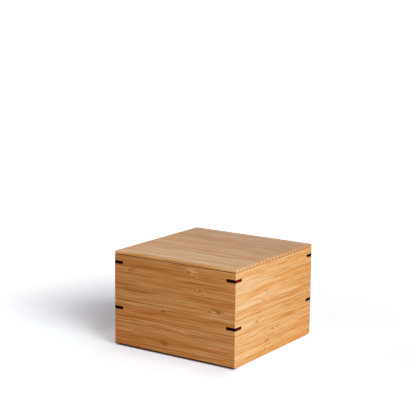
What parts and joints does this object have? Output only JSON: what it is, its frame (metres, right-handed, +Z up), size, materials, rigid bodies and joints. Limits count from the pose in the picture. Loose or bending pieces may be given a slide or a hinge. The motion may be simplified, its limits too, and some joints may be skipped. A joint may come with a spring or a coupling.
{
  "type": "two-tier lunch box",
  "caption": "Square stacked lunch box of laminated bamboo with mitred and keyed corners, a nesting upper tier and a flat lift-off lid.",
  "frame": {"origin": "middle of the underside of the lower base board, on the surface that the box stands on", "axes": "+Z up along the lifting axis of the upper tier and the lid, +X to the right wall, -Y to the front wall"},
  "size_m": [0.1204, 0.1204, 0.0814],
  "materials": {
    "bamboo": "laminated bamboo strips, fine sanded with a thin satin varnish",
    "key_wood": "dark reddish hardwood, sanded flush under the same thin varnish"
  },
  "bodies": {
    "lower_tier": {"lower_wall_front": "bamboo", "lower_wall_right": "bamboo", "lower_wall_back": "bamboo", "lower_wall_left": "bamboo", "lower_base": "bamboo", "lower_key_front_right": "key_wood", "lower_key_back_right": "key_wood", "lower_key_back_left": "key_wood", "lower_key_front_left": "key_wood"},
    "upper_tier": {"upper_wall_front": "bamboo", "upper_wall_right": "bamboo", "upper_wall_back": "bamboo", "upper_wall_left": "bamboo", "upper_base": "bamboo", "upper_key_front_right": "key_wood", "upper_key_back_right": "key_wood", "upper_key_back_left": "key_wood", "upper_key_front_left": "key_wood"},
    "lid": {"lid": "bamboo"}
  },
  "joints": [
    {"name": "upper_tier_lift", "type": "slide", "parent": "lower_tier", "child": "upper_tier", "axis": [0, 0, 1], "range_m": [0, 0.1]},
    {"name": "lid_lift", "type": "slide", "parent": "upper_tier", "child": "lid", "axis": [0, 0, 1], "range_m": [0, 0.08]}
  ]
}
